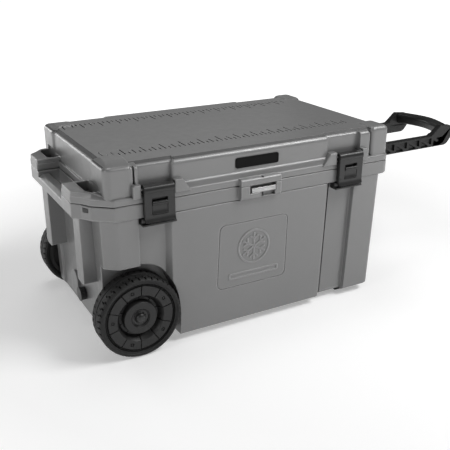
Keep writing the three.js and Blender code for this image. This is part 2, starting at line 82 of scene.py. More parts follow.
# tub and rim
HALF_RIM = 262.5
RIM_LEFT, RIM_RIGHT = span("tub_shell", "x")
END_WALL = -417
WALL_RIGHT = 384
INSIDE_LEFT = -330
DRAFT = 8               # how far the tub's walls lean in from the rim to the bottom
DRAIN = middle("drain_fitting", "yz")
BAR_HALF = 106          # half the length of the finger gap behind the carry bar

# lock block and latches
HASP_X = (-70, 49)
PADLOCK = (-6, -268.5, 4.5)     # x, y and radius of the hole
LATCH_X = [middle(f"latch_{word}", "x")[0] for word in SIDES]
LATCH_HALF = span("latch_left", "x")[1] - LATCH_X[0]
LATCH_AXIS = middle("latch_pin_left", "yz")
LATCH_HOLE_R = 3.3

# lid hinges
HINGE_X = [middle(f"lid_hinge_pin_{word}", "x")[0] for word in SIDES]
HINGE_AXIS = middle("lid_hinge_pin_left", "yz")
HINGE_HOLE_R = 4.2
HINGE_HALF = 70
KNUCKLE_HALF = 38       # the lid's knuckle, which stands between two of the tub's
KNUCKLE_R = 12
KNUCKLE_GAP = 0.8

# wheels
WHEEL = middle("axle", "xz")
WHEEL_R = WHEEL[1]
INNER = span("wheel_rear_tyre", "y")[0] - 2
OUTER = span("wheel_rear_tyre", "y")[1]
WELL_Y = 203
WELL_TOP = 243

# trolley handle
HANDLE_Y = middle("handle_arm_rear", "y")[0]
PIVOT = middle("handle_pivot_pin_rear", "xz")
PIVOT_HOLE_R = 5.3
ARM_HALF = span("handle_arm_rear", "y")[1] - HANDLE_Y
ARM_Z = (PIVOT[1] - 18, PIVOT[1] + 18)
GRIP_HALF = span("handle_grip", "y")[1]


# ---- polygons -----------------------------------------------------------
def rounded(corners, steps=6):
    """Polygon whose corners (x, y, r) are rounded with radius r."""
    out = []
    for i, corner in enumerate(corners):
        p = Vector(corner[:2])
        r = corner[2] if len(corner) > 2 else 0
        if not r:
            out.append(tuple(p))
            continue
        u = (Vector(corners[i - 1][:2]) - p).normalized()
        v = (Vector(corners[(i + 1) % len(corners)][:2]) - p).normalized()
        half = math.acos(max(-1, min(1, u.dot(v)))) / 2
        centre = p + (u + v).normalized() * (r / math.sin(half))
        start = p + u * (r / math.tan(half)) - centre
        end = p + v * (r / math.tan(half)) - centre
        turn = math.atan2(start.x * end.y - start.y * end.x, start.dot(end))
        for k in range(steps + 1):
            c, s = math.cos(turn * k / steps), math.sin(turn * k / steps)
            out.append((centre.x + start.x * c - start.y * s,
                        centre.y + start.x * s + start.y * c))
    return out


def circle(x, y, r, count=48, start=0, end=360):
    """Circle, or the arc from start to end in degrees."""
    span = count if end - start > 359.9 else count - 1
    turns = [math.radians(start + (end - start) * i / span) for i in range(count)]
    return [(x + r * math.cos(a), y + r * math.sin(a)) for a in turns]


def rect(x0, x1, y0, y1, r=0, steps=5):
    return rounded([(x0, y0, r), (x1, y0, r), (x1, y1, r), (x0, y1, r)], steps)


def curve(points, times=2):
    """Open polyline smoothed by cutting its corners."""
    for _ in range(times):
        out = [points[0]]
        for a, b in zip(points, points[1:]):
            a, b = Vector(a), Vector(b)
            out += [tuple(a.lerp(b, 0.25)), tuple(a.lerp(b, 0.75))]
        points = out + [points[-1]]
    return points


def inset(polygon, d):
    """Polygon pulled in by d along its edges' normals."""
    n = len(polygon)
    doubled_area = sum(a[0] * b[1] - b[0] * a[1] for a, b in zip(polygon[-1:] + polygon[:-1], polygon))
    s = 1 if doubled_area > 0 else -1
    out = []
    for i in range(n):
        p = Vector(polygon[i])
        a = (p - Vector(polygon[i - 1])).normalized()
        b = (Vector(polygon[(i + 1) % n]) - p).normalized()
        na, nb = Vector((-a.y, a.x)) * s, Vector((-b.y, b.x)) * s
        out.append(tuple(p + (na + nb) * (d / max(1 + na.dot(nb), 0.3))))
    return out


def mirrored(front):
    """Closed outline from its front half."""
    return front + [(c[0], -c[1], *c[2:]) for c in reversed(front)]


def side(s, a, b):
    """Span a..b on the rear side, or the same span on the front side."""
    return (a, b) if s > 0 else (-b, -a)


# ---- solids -------------------------------------------------------------
PUT = {
    "x": lambda a, b, t: (t, a, b),
    "y": lambda a, b, t: (a, t, b),
    "z": lambda a, b, t: (a, b, t),
}


def solid(points, faces):
    """Closed mesh with its normals outward."""
    mesh = bpy.data.meshes.new("solid")
    mesh.from_pydata(points, [], faces)
    bm = bmesh.new()
    bm.from_mesh(mesh)
    bmesh.ops.remove_doubles(bm, verts=bm.verts, dist=1e-4)
    bmesh.ops.recalc_face_normals(bm, faces=bm.faces)
    bm.to_mesh(mesh)
    bm.free()
    thing = bpy.data.objects.new("solid", mesh)
    scene.collection.objects.link(thing)
    return thing


def loft(rings, axis="z"):
    """Closed solid through rings (t, polygon) stacked along an axis."""
    n = len(rings[0][1])
    points = [PUT[axis](a, b, t) for t, ring in rings for a, b in ring]
    last = (len(rings) - 1) * n
    faces = [tuple(range(n)), tuple(range(last, last + n))]
    for lo in range(0, last, n):
        for i in range(n):
            j = (i + 1) % n
            faces.append((lo + i, lo + j, lo + n + j, lo + n + i))
    return solid(points, faces)


def prism(axis, polygon, a, b):
    return loft([(a, polygon), (b, polygon)], axis)


def soft(axis, polygon, a, b, start=0.0, end=0.0, steps=4):
    """Prism whose two end edges are rounded with radii start and end."""
    rings = []
    for k in range(steps + 1 if start else 1):
        t = math.pi / 2 * k / steps
        rings.append((a + start * (1 - math.cos(t)), inset(polygon, start * (1 - math.sin(t)))))
    for k in reversed(range(steps + 1 if end else 1)):
        t = math.pi / 2 * k / steps
        rings.append((b - end * (1 - math.cos(t)), inset(polygon, end * (1 - math.sin(t)))))
    return loft(rings, axis)


def box(x0, x1, y0, y1, z0, z1):
    return prism("z", rect(x0, x1, y0, y1), z0, z1)


def disc(axis, a, b, r, t0, t1, count=48):
    return prism(axis, circle(a, b, r, count), t0, t1)


def pillow(x0, x1, y0, y1, r, z0, z1, fillet, steps=7):
    """Block with rounded corners in plan and a rounded top edge."""
    rings = [(z0, rect(x0, x1, y0, y1, r))]
    for k in range(steps + 1):
        a = math.pi / 2 * k / steps
        d = fillet * (1 - math.cos(a))
        ring = rect(x0 + d, x1 - d, y0 + d, y1 - d, max(r - d / 2, 2))
        rings.append((z1 - fillet + fillet * math.sin(a), ring))
    return loft(rings)


def spin(profile, count):
    """Closed profile (radius, y) turned about the wheels' axle."""
    n = len(profile)
    points = []
    for k in range(count):
        a = 2 * math.pi * k / count
        points += [(WHEEL[0] + r * math.cos(a), y, WHEEL[1] + r * math.sin(a)) for r, y in profile]
    faces = []
    for k in range(count):
        lo, hi = k * n, (k + 1) % count * n
        faces += [(lo + i, lo + (i + 1) % n, hi + (i + 1) % n, hi + i) for i in range(n)
                  if profile[i][0] or profile[(i + 1) % n][0]]
    return solid(points, faces)


def boolean(base, tool, operation):
    modifier = base.modifiers.new("boolean", "BOOLEAN")
    modifier.operation, modifier.object, modifier.solver = operation, tool, "MANIFOLD"
    graph = bpy.context.evaluated_depsgraph_get()
    result = bpy.data.meshes.new_from_object(base.evaluated_get(graph))
    base.modifiers.clear()
    base.data = result
    bpy.data.objects.remove(tool)
    return base


def add(base, *tools):
    for tool in tools:
        boolean(base, tool, "UNION")
    return base


def cut(base, *tools):
    for tool in tools:
        boolean(base, tool, "DIFFERENCE")
    return base


def score(thing, wanted, planes):
    """Splits the wanted flat faces along planes, so that later cuts leave simple faces."""
    bm = bmesh.new()
    bm.from_mesh(thing.data)
    for spot, normal in planes:
        flat = [f for f in bm.faces if wanted(f)]
        edges = list({e for f in flat for e in f.edges})
        corners = list({v for f in flat for v in f.verts})
        bmesh.ops.bisect_plane(bm, geom=flat + edges + corners, plane_co=spot, plane_no=normal)
    bm.to_mesh(thing.data)
    bm.free()


def together(solids):
    """Separate solids as one object, for a single cut."""
    bm = bmesh.new()
    for s in solids:
        bm.from_mesh(s.data)
    first = solids[0]
    bm.to_mesh(first.data)
    bm.free()
    for s in solids[1:]:
        bpy.data.objects.remove(s)
    return first


# ---- materials ----------------------------------------------------------
class Finish:
    """Node material in object coordinates, in metres."""

    def __init__(self, name):
        self.material = bpy.data.materials.new(name)
        self.material.use_nodes = True
        self.tree = self.material.node_tree
        self.shader = self.tree.nodes["Principled BSDF"]
        self.coords = self.tree.nodes.new("ShaderNodeTexCoord").outputs["Object"]

    def node(self, kind, inputs=None, **settings):
        n = self.tree.nodes.new(kind)
        for key, value in settings.items():
            setattr(n, key, value)
        for key, value in (inputs or {}).items():
            if isinstance(value, bpy.types.NodeSocket):
                self.tree.links.new(value, n.inputs[key])
            else:
                n.inputs[key].default_value = value
        return n

    def link(self, output, name):
        self.tree.links.new(output, self.shader.inputs[name])

    def stretched(self, scale):
        return self.node("ShaderNodeMapping", {"Vector": self.coords, "Scale": scale}).outputs[0]

    def noise(self, scale, detail=3, rough=0.5, coords=None, distortion=0.0):
        return self.node("ShaderNodeTexNoise", {
            "Vector": coords or self.coords, "Scale": scale, "Detail": detail,
            "Roughness": rough, "Distortion": distortion}).outputs["Fac"]

    def ramp(self, value, low, high, out_low=0.0, out_high=1.0):
        return self.node("ShaderNodeMapRange", {
            "Value": value, "From Min": low, "From Max": high,
            "To Min": out_low, "To Max": out_high}).outputs["Result"]

    def math(self, operation, a, b):
        return self.node("ShaderNodeMath", {0: a, 1: b}, operation=operation).outputs[0]

    def mix(self, factor, a, b):
        n = self.node("ShaderNodeMix", data_type="RGBA")
        for socket, value in ((n.inputs[0], factor), (n.inputs[6], a), (n.inputs[7], b)):
            if isinstance(value, bpy.types.NodeSocket):
                self.tree.links.new(value, socket)
            else:
                socket.default_value = value
        return n.outputs[2]

    def bump(self, height, strength, distance, normal=None):
        inputs = {"Height": height, "Strength": strength, "Distance": distance}
        if normal is not None:
            inputs["Normal"] = normal
        return self.node("ShaderNodeBump", inputs).outputs["Normal"]

    def edges(self, radius):
        """(smoothed normal, 0..1 edge mask) for rounded edges, and for rubbed edges with painted highlight.
        """
        soft = self.node("ShaderNodeBevel", {"Radius": radius}, samples=6).outputs[0]
        plain = self.node("ShaderNodeNewGeometry").outputs["Normal"]
        dot = self.node("ShaderNodeVectorMath", {0: soft, 1: plain}, operation="DOT_PRODUCT")
        return soft, self.ramp(dot.outputs["Value"], 0.995, 0.90)


def grey(value, tint=(1, 1, 1)):
    return tuple(value * t for t in tint) + (1,)


def moulded(name, base, rough, grain=1100, depth=0.00012, edge_wear_and_highlight=0.0, edge=0.0012, tint=(1, 1, 1),
            mottle=0.10, scuffs=0.0, dust=0.0, specular=0.5):
    """Moulded plastic: mottling, scuffs, rubbed edges with painted highlight, painted shade in the corners,
    settled dust and a fine moulded grain.
    """
    f = Finish(name)
    # slow and fine mottling
    cloud = f.ramp(f.noise(7, 4, 0.6), 0.3, 0.7)
    fine = f.ramp(f.noise(160, 3, 0.7), 0.3, 0.7)
    colour = f.mix(cloud, grey(base * (1 - mottle), tint), grey(base * (1 + mottle), tint))
    colour = f.mix(f.math("MULTIPLY", fine, 0.25), colour, grey(base * (1 + 1.6 * mottle), tint))
    rough_value = f.ramp(f.noise(45, 4, 0.65), 0.3, 0.7, rough - 0.05, rough + 0.06)
    if scuffs:
        streak = f.noise(1.0, 5, 0.6, f.stretched((7, 70, 240)), 0.6)
        second = f.noise(1.0, 5, 0.6, f.stretched((190, 50, 9)), 0.4)
        both = f.math("MAXIMUM", f.ramp(streak, 0.64, 0.74), f.ramp(second, 0.66, 0.76))
        patch = f.ramp(f.noise(11, 3), 0.45, 0.7)
        marks = f.math("MULTIPLY", f.math("MULTIPLY", both, patch), scuffs)
        colour = f.mix(marks, colour, grey(min(base * 2.2, 0.9), tint))
    # painted shade in the corners, and pale rubbed open edges that are partly a painted highlight
    soft, mask = f.edges(edge)
    open_air = f.node("ShaderNodeAmbientOcclusion", {"Distance": 0.010}, samples=12).outputs["AO"]
    painted_crevice_shade = f.ramp(open_air, 0.62, 0.22, 0.0, 0.9)
    colour = f.mix(painted_crevice_shade, colour, grey(base * 0.15, tint))
    # the pale convex edges are partly rubbed plastic and partly a painted highlight
    if edge_wear_and_highlight:
        broken = f.ramp(f.noise(60, 4, 0.7), 0.2, 0.5, 0.6)
        outer = f.math("MULTIPLY", mask, f.ramp(open_air, 0.86, 0.97))
        worn_and_highlit = f.math("MULTIPLY", f.math("MULTIPLY", outer, broken), edge_wear_and_highlight)
        colour = f.mix(worn_and_highlit, colour, grey(min(base * 2.1 + 0.03, 0.9), tint))
    if dust:
        up = f.node("ShaderNodeSeparateXYZ", {0: f.node("ShaderNodeNewGeometry").outputs["Normal"]})
        lie = f.ramp(up.outputs["Z"], 0.35, 0.95)
        film = f.ramp(f.noise(26, 5, 0.7), 0.35, 0.75)
        settled = f.math("MULTIPLY", f.math("MULTIPLY", lie, film), dust)
        colour = f.mix(settled, colour, grey(0.42, (1.0, 0.98, 0.94)))
    f.link(colour, "Base Color")
    f.link(rough_value, "Roughness")
    f.shader.inputs["Specular IOR Level"].default_value = specular
    sag = f.bump(f.noise(9, 2), 0.12, 0.0006, soft)
    f.link(f.bump(f.noise(grain, 2, 0.6), 0.3, depth, sag), "Normal")
    return f.material


def brushed(name, base, rough, along):
    """Brushed metal, with lines along the axis of along's smallest scale."""
    f = Finish(name)
    lines = f.noise(1.0, 4, 0.7, f.stretched(along))
    blot = f.ramp(f.noise(14, 3), 0.3, 0.7)
    colour = f.mix(f.ramp(lines, 0.3, 0.7), grey(base * 0.82), grey(base * 1.08, (1, 1, 1.01)))
    colour = f.mix(f.math("MULTIPLY", blot, 0.2), colour, grey(base * 0.7, (1, 0.98, 0.95)))
    f.link(colour, "Base Color")
    f.link(f.ramp(lines, 0.25, 0.75, rough - 0.08, rough + 0.10), "Roughness")
    f.shader.inputs["Metallic"].default_value = 1.0
    f.link(f.bump(lines, 0.3, 0.00005, f.edges(0.0006)[0]), "Normal")
    return f.material


def foam(name):
    """Yellowed foam with fine cells."""
    f = Finish(name)
    cells = f.node("ShaderNodeTexVoronoi", {"Vector": f.coords, "Scale": 420}).outputs["Distance"]
    patch = f.ramp(f.noise(18, 5, 0.7), 0.3, 0.7)
    colour = f.mix(patch, (0.66, 0.55, 0.29, 1), (0.78, 0.68, 0.40, 1))
    f.link(f.mix(f.ramp(cells, 0.1, 0.6), colour, (0.50, 0.40, 0.20, 1)), "Base Color")
    f.shader.inputs["Roughness"].default_value = 0.9
    f.link(f.bump(cells, 0.7, 0.0006), "Normal")
    return f.material


# the shell's wide pale edges are mostly a painted highlight
SHELL = moulded("shell_grey", 0.168, 0.335, depth=0.00005, edge_wear_and_highlight=1.0, scuffs=0.08, dust=0.02,
                mottle=0.03, edge=0.0042, specular=1.0)
# painted shade: dark copies of the shell for the sloping bands round the lid's top, the groove beside the
# front panel and the ticks' floors
PAINTED_SHADE = moulded("shell_painted_shade", 0.05, 0.55, edge_wear_and_highlight=0.2, scuffs=0.1, mottle=0.08, edge=0.0008)
TICK_PAINTED_SHADE = moulded("tick_painted_shade", 0.010, 0.7, mottle=0.2, edge=0.0004, specular=0.1)
WHITE = moulded("liner_white", 0.78, 0.34, grain=500, depth=0.00005, tint=(0.985, 1, 1),
                mottle=0.03, scuffs=0.12)
BLACK = moulded("trim_black", 0.015, 0.335, edge_wear_and_highlight=0.35, scuffs=0.08, mottle=0.16, edge=0.0016,
                specular=0.5)
NAME = moulded("nameplate_black", 0.004, 0.55, grain=1500, scuffs=0.05, mottle=0.2, specular=0.12)
GRIP = moulded("grip_black", 0.008, 0.335, grain=1500, edge_wear_and_highlight=0.30, scuffs=0.05, mottle=0.15,
               edge=0.0014, specular=0.34)
HUB = moulded("hub_black", 0.016, 0.42, grain=900, edge_wear_and_highlight=0.30, scuffs=0.08, dust=0.02, mottle=0.2,
              edge=0.0014, specular=0.4)
TYRE = moulded("tyre_rubber", 0.013, 0.60, grain=700, depth=0.0003, edge_wear_and_highlight=0.25, scuffs=0.10, dust=0.03,
               mottle=0.25, edge=0.0016, specular=0.35)
RUBBER = moulded("seal_rubber", 0.02, 0.72, grain=800, depth=0.0002, mottle=0.2, specular=0.3)
FOAM = foam("foam_core")
STEEL = brushed("steel_brushed", 0.62, 0.37, (30, 900, 900))
PLATE = brushed("plate_brushed", 0.46, 0.37, (900, 30, 30))
SLOTS = {"shell_grey": SHELL, "liner_white": WHITE, "foam": FOAM, "seal_rubber": RUBBER,
         "trim_black": BLACK, "tyre_rubber": TYRE, "steel": STEEL}


# ---- finishing a piece --------------------------------------------------
SHARP = math.radians(30)


def soften(thing, width, weld=False):
    """Smooth shading with sharp or bevelled edges where faces meet at more than SHARP."""
    for polygon in thing.data.polygons:
        polygon.use_smooth = True
    if weld:
        thing.modifiers.new("weld", "WELD").merge_threshold = 1e-6
    if width:
        bevel = thing.modifiers.new("bevel", "BEVEL")
        bevel.width = width * MM
        bevel.segments = 2
        bevel.limit_method = "ANGLE"
        bevel.angle_limit = SHARP
        bevel.use_clamp_overlap = False
        bevel.miter_outer = "MITER_ARC"
    elif not weld:
        bm = bmesh.new()
        bm.from_mesh(thing.data)
        for edge in bm.edges:
            edge.smooth = edge.calc_face_angle(0) < SHARP
        bm.to_mesh(thing.data)
        bm.free()
    thing.modifiers.new("normals", "WEIGHTED_NORMAL").keep_sharp = True


def piece(name, thing, body, slot, nodes, material=None, bevel=0.8):
    """Turns a solid in millimetres into a finished piece that rides on a body."""
    bm = bmesh.new()
    bm.from_mesh(thing.data)
    bmesh.ops.remove_doubles(bm, verts=bm.verts, dist=0.005)
    for v in bm.verts:
        v.co = Vector((v.co.x - CENTRE_X, v.co.y, v.co.z)) * MM
    bm.to_mesh(thing.data)
    bm.free()
    thing.name = thing.data.name = name
    thing.data.materials.clear()
    thing.data.materials.append(material or SLOTS[slot])
    soften(thing, bevel)
    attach(thing, body)
    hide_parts(*nodes)
    return thing


# ---- tub ----------------------------------------------------------------
def tub_outline(d):
    """The tub's plan below the rim, pulled in by d."""
    return rounded(mirrored([
        (END_WALL, -164), (-430 + d, -168), (-430 + d, -232 + d, 8), (-400 + d, -258 + d, 22),
        (-342, -258 + d, 2), (-342, -245 + d, 2), (-270, -245 + d, 3), (-258, -HALF_RIM + d, 3),
        (208 - d, -HALF_RIM + d, 3), (214 - d, -245 + d, 3), (304 - d, -245 + d, 2),
        (306 - d, -259 + d, 2), (398 - d, -259 + d, 15), (398 - d, -160, 4), (WALL_RIGHT - d, -150, 4),
    ]), 5)


def rim_outline(d):
    """The plan of the tub's rim and of the lid's brim, pulled in by d."""
    return rounded(mirrored([
        (RIM_LEFT + d, -181, 2), (-463 + d, -198, 3), (-448 + d, -226 + d, 4),
        (-403 + d, -HALF_RIM + d, 6), (RIM_RIGHT - d, -HALF_RIM + d, 24),
    ]), 6)


def front_y(z, d=0.0):
    """The drafted front panel at height z, d deeper."""
    return -HALF_RIM + DRAFT * (RIM_BOTTOM - z) / (RIM_BOTTOM - BODY_BOTTOM) + d


def on_front(polygon, outward, inward):
    """Solid over a polygon (x, z) on the drafted front panel."""
    n = len(polygon)
    points = [(x, front_y(z, d), z) for d in (-outward, inward) for x, z in polygon]
    faces = [tuple(range(n)), tuple(range(n, 2 * n))]
    faces += [(i, (i + 1) % n, n + (i + 1) % n, n + i) for i in range(n)]
    return solid(points, faces)


def knuckles(spans, r, grow=0.0):
    """Hinge knuckles over spans of X, each made longer by grow at both ends."""
    return together([disc("x", *HINGE_AXIS, r, a - grow, b + grow) for a, b in spans])


TUB_KNUCKLES = [(c + a, c + b) for c in HINGE_X
                for a, b in (side(-1, KNUCKLE_HALF, HINGE_HALF), side(1, KNUCKLE_HALF, HINGE_HALF))]
LID_KNUCKLES = [(c - KNUCKLE_HALF + 0.5, c + KNUCKLE_HALF - 0.5) for c in HINGE_X]

# (rise, pull) up a rounded upper edge
ROUND = [(0.0, 0.0), (0.9, 0.15), (1.8, 0.6), (2.5, 1.3), (3.0, 2.4)]

tub = loft([(BODY_BOTTOM, tub_outline(DRAFT + 5)), (BODY_BOTTOM + 1.5, tub_outline(DRAFT + 2)),
            (BODY_BOTTOM + 5, tub_outline(DRAFT)), (RIM_BOTTOM, tub_outline(0))])
rim_foot = [(RIM_BOTTOM, rim_outline(4)), (RIM_BOTTOM + 1.2, rim_outline(1.6)),
            (RIM_BOTTOM + 4, rim_outline(0))]
add(tub, loft(rim_foot + [(SEAM - 3 + up, rim_outline(pull)) for up, pull in ROUND]))

# the two ribs under the carry bar, and the lock block's lower half
for s in (-1, 1):
    rib = rounded([(s * 117, 388), (s * 117, 179, 8), (s * 166, 179, 8), (s * 166, 388)], 5)
    add(tub, prism("x", rib, -461, END_WALL + 10))
hasp = [(-255, 371), (-273, 371, 1.5), (-275.5, 375, 3), (-275.5, SEAM, 1), (-255, SEAM)]
add(tub, prism("x", rounded(hasp, 4), *HASP_X))

# wheel wells, and the chamfer along the bottom between them
arch = curve([(-237, 85), (-240, 118), (-246, 155), (-262, 192), (-282, 220), (-307, 236), (-344, WELL_TOP)])
well = [(-520, -20), (-239, -20)] + arch + [(-520, WELL_TOP)]
for s in (-1, 1):
    cut(tub, prism("y", well, *side(s, WELL_Y, 320)))
cut(tub, prism("y", [(-440, 10), (-396, 10), (-440, 57)], -WELL_Y - 2, WELL_Y + 2))

# the raised arched pad on the end wall, and the hinge knuckles with their roots
add(tub, disc("x", 44, 100, 27, -426, END_WALL + 5), box(-426, END_WALL + 5, 17, 71, 62, 100))
roots = together([box(a, b, 250, 270, 380, 400) for a, b in TUB_KNUCKLES])
add(tub, knuckles(TUB_KNUCKLES, KNUCKLE_R), roots)

# the finger gap behind the carry bar, the bar's lower top and its sloping outer edge
cut(tub, box(-454, -424, -BAR_HALF, BAR_HALF, RIM_BOTTOM - 2, SEAM + 2),
    box(-490, -452, -BAR_HALF, BAR_HALF, 398, SEAM + 2))
slope = [(-484, 391), (-482, 391), (-470, 398), (-470, 401), (-484, 401)]
cut(tub, prism("y", slope, -BAR_HALF, BAR_HALF))

# the lock plate's slot, and the finger scoop that runs out to the left below it
cut(tub, box(-45, 34, -280, -263, 385, SEAM + 2))
scoop = [(-18, 373), (-18, 385.1), (31, 385.1), (31, 373)]
scoop_floor = [(8, 374), (8, 385.1), (31, 385.1), (31, 374)]
cut(tub, loft([(-280, scoop), (-275.5, scoop), (-266, scoop_floor)], "y"))

# the hollow for the foam and liner, which steps up over the wheels, and the liner's seat in the rim
for hollow in ((-410, 376, -WELL_Y + 6, WELL_Y - 6, 28, 400), (-228, 376, -236, 236, 28, 400),
               (-410, 376, -236, 236, 252, 400), (-412.3, 378.3, -238.3, 238.3, 399.7, SEAM + 3)):
    cut(tub, box(*hollow))

# room for the lid's knuckles, and the holes for hinge pins, padlock, axle tube and drain
cut(tub, knuckles(LID_KNUCKLES, KNUCKLE_R + KNUCKLE_GAP, 0.5),
    disc("x", *HINGE_AXIS, HINGE_HOLE_R, -400, 400))
cut(tub, disc("z", *PADLOCK, 360, SEAM + 2), disc("y", *WHEEL, 11.3, -300, 300))
cut(tub, disc("x", *DRAIN, 9.3, -440, INSIDE_LEFT + 20))

# pockets for the rubber feet and for the seam inserts
for s in (-1, 1):
    cut(tub, box(299.7, 360.3, *side(s, 169.7, 210.3), BODY_BOTTOM - 2, BODY_BOTTOM + 6))
    cut(tub, box(-470, -452, *side(s, 202.7, 219.3), 388.7, 400.3))

# fine groove in the recess beside the front panel, leaning with the draft
GROOVE_X = (223.2, 227.2)       # at the rim
GROOVE_FOOT = (-241, -236.4)    # y of its mouth and floor at the tub's bottom
GROOVE_HEAD = (-249, -242.4)    # and at the rim
cut(tub, loft([(BODY_BOTTOM - 1, rect(GROOVE_X[0] - DRAFT, GROOVE_X[1] - DRAFT, *GROOVE_FOOT)),
               (RIM_BOTTOM - 1, rect(*GROOVE_X, *GROOVE_HEAD))]))

# thin frame and plain motif on the front panel, both over points (x, z)
FRAME_CORNERS = [(-124, 306, 16), (82, 306, 16), (80, 124, 16), (-131, 124, 16)]
FRAME_CENTRE = (-22, 215)
FRAME_HALF = 1.1                # half the frame line's width
FRAME_DEPTH = 1.5
MOTIF = (-22, 232)
RELIEF = 1.5                    # how far the motif stands out of the panel
ROOT = 3                        # and how deep it starts inside it


def frame_ring(grow):
    """The frame's outline, moved outward by grow."""
    cx, cz = FRAME_CENTRE
    pulled = [(x + math.copysign(1, x - cx) * grow, z + math.copysign(1, z - cz) * grow, r + grow)
              for x, z, r in FRAME_CORNERS]
    return rounded(pulled, 8)


score(tub, lambda f: f.normal.y < -0.99 and f.calc_area() > 15000,
      [((FRAME_CENTRE[0], 0, 0), (1, 0, 0)), ((0, 0, FRAME_CENTRE[1]), (0, 0, 1))])
cut(tub, cut(on_front(frame_ring(FRAME_HALF), 3, FRAME_DEPTH), on_front(frame_ring(-FRAME_HALF), 6, 4)))


def flake(cx, cz, radius, half):
    """Six plain arms, each with one pair of side branches."""
    bars = []
    for k in range(6):
        a = math.radians(30 + 60 * k)
        u, v = Vector((math.cos(a), math.sin(a))), Vector((-math.sin(a), math.cos(a)))

        def bar(start, end, width):
            along = (end - start).normalized()
            across = Vector((-along.y, along.x)) * width
            corners = [start - across, end - across, end + across, start + across]
            return [(cx + p.x, cz + p.y) for p in corners]
        bars.append(bar(u * 0, u * radius, half))
        for sgn in (-1, 1):
            tip = u * radius * 0.6 + (u * 0.5 + v * sgn * 0.87) * radius * 0.36
            bars.append(bar(u * radius * 0.55, tip, half))
    return bars


motif = cut(on_front(circle(*MOTIF, 49, 72), RELIEF, ROOT), on_front(circle(*MOTIF, 44, 72), 4, 6))
for arm in flake(*MOTIF, 39, 2.4):
    add(motif, on_front(arm, RELIEF, ROOT))
add(motif, cut(on_front(rect(-98, 56, 146, 164, 5), RELIEF, ROOT),
               on_front(rect(-93, 51, 150.5, 159.5, 2.5), 4, 6)))
add(tub, motif)
shell = piece("tub_shell_moulded", tub, "tub", "shell_grey", ["tub_shell"], bevel=0)

# painted shade: the groove's own faces, which lie deeper than the recess, get the dark shade material
RECESS = 17.7                   # the recess's floor behind the front panel, and a little more
shell.data.materials.append(PAINTED_SHADE)
for polygon in shell.data.polygons:
    x, y, z = (c / MM for c in polygon.center)
    across = GROOVE_X[0] - DRAFT - 2 < x + CENTRE_X < GROOVE_X[1] + 1
    if across and front_y(z, RECESS) < y < -230 and z < RIM_BOTTOM:
        polygon.material_index = 1

# ---- lid ----------------------------------------------------------------
ARC = 0.8


def shoulder(x, y, r, z0, fillet, band, z1=PANEL_TOP, steps=6):
    """Block (x0, x1) by (y0, y1) with a rounded shoulder and a sloping band up to its flat top.

    r is the corner radius at the left and at the right, fillet is (run, drop) of the rounding,
    and band is (drop, left, right, front, back) of the slope. The rounding stops before it is
    level, at ARC of a quarter turn, where the slope takes over."""
    run, fall = fillet
    drop, *pull = band

    def ring(e, less):
        x0, x1, y0, y1 = x[0] + e[0], x[1] - e[1], y[0] + e[2], y[1] - e[3]
        left, right = (max(v - less, 2) for v in r)
        return rounded([(x0, y0, left), (x1, y0, right), (x1, y1, right), (x0, y1, left)], 6)
    rings = [(z0, ring((0, 0, 0, 0), 0))]
    for k in range(steps + 1):
        t = math.pi / 2 * ARC * k / steps
        d, rise = run * (1 - math.cos(t)), fall * math.sin(t)
        rings.append((z1 - drop - fall + rise, ring([min(d, p) for p in pull], d)))
    return loft(rings + [(z1, ring(pull, run))])


# the whole top, and its wider middle between the corner pads
lid = shoulder((-416, 413), (-242, 242), (20, 20), LID_BOTTOM, (9, 9), (6, 15.4, 13, 12.5, 12.5))
add(lid, shoulder((-251, 214), (-253.5, 253.5), (8, 8), RIM_TOP - 5, (11, 14), (5, 10, 10, 13.5, 13.5)))

# corner pads, each with a lower block beside it
for s in (-1, 1):
    y = side(s, 150, 256)
    near = (43, 20) if s < 0 else (20, 43)
    add(lid, shoulder((-421, -351.5), y, (19, 10), RIM_TOP - 5, (14, 10), (6, 20, 1.5, *near), PAD_TOP))
    y = side(s, 196, 255)
    near = (31, 4) if s < 0 else (4, 31)
    add(lid, shoulder((-372, -336.5), y, (4, 4), RIM_TOP - 5, (10, 9), (6, 1, 1, *near)))
    cut(lid, box(-351.5, -346, *side(s, 246, 262), BLOCK_TOP, PAD_TOP + 3))
    add(lid, pillow(357, 418, *side(s, 178, 256), 12, RIM_TOP - 5, PAD_TOP, 14))
    add(lid, pillow(312, 353, *side(s, 226, 256), 4, RIM_TOP - 5, SLAB_TOP, 12))

# the brim, with a gap over the carry bar, the end blocks beside it and the ledges along the sides
BRIM_ROUND = 4 / 3              # the brim's rounding against the rim's
brim = loft([(LID_BOTTOM, rim_outline(1.6)), (LID_BOTTOM + 1.4, rim_outline(0))]
            + [(RIM_TOP - 4 + up * BRIM_ROUND, rim_outline(pull * BRIM_ROUND)) for up, pull in ROUND])
cut(brim, box(-500, -421, -113, 113, 400, 440))
add(lid, brim)
LEDGE = [(240, LID_BOTTOM), (261, RIM_TOP - 2), (257.5, 436), (256, 439.5), (253.8, 441.6), (240, 443)]
for s in (-1, 1):
    low = [(-412, 113), (-481.8, 113), (-481.8, 181), (-462.8, 198), (-447.5, 225.5),
           (-414, 252), (-404, 240)]
    top = [(-412, 114), (-480, 114), (-480, 181), (-461.5, 197.5), (-442, 219), (-432, 221), (-412, 221)]
    flip = [[(x, s * y) for x, y in ring] for ring in (low, low, inset(low, 1), top)]
    add(lid, loft(list(zip((LID_BOTTOM + 4, RIM_TOP - 1.5, RIM_TOP, BLOCK_TOP), flip))))
    hole = rounded([(-449, 122, 7), (-449, 194, 5), (-441, 212, 4), (-416.5, 212, 3), (-416.5, 122, 3)], 4)
    cut(lid, prism("z", [(x, s * y) for x, y in hole], 412, 450))
    add(lid, prism("x", [(s * y, z) for y, z in LEDGE], -246, 214))

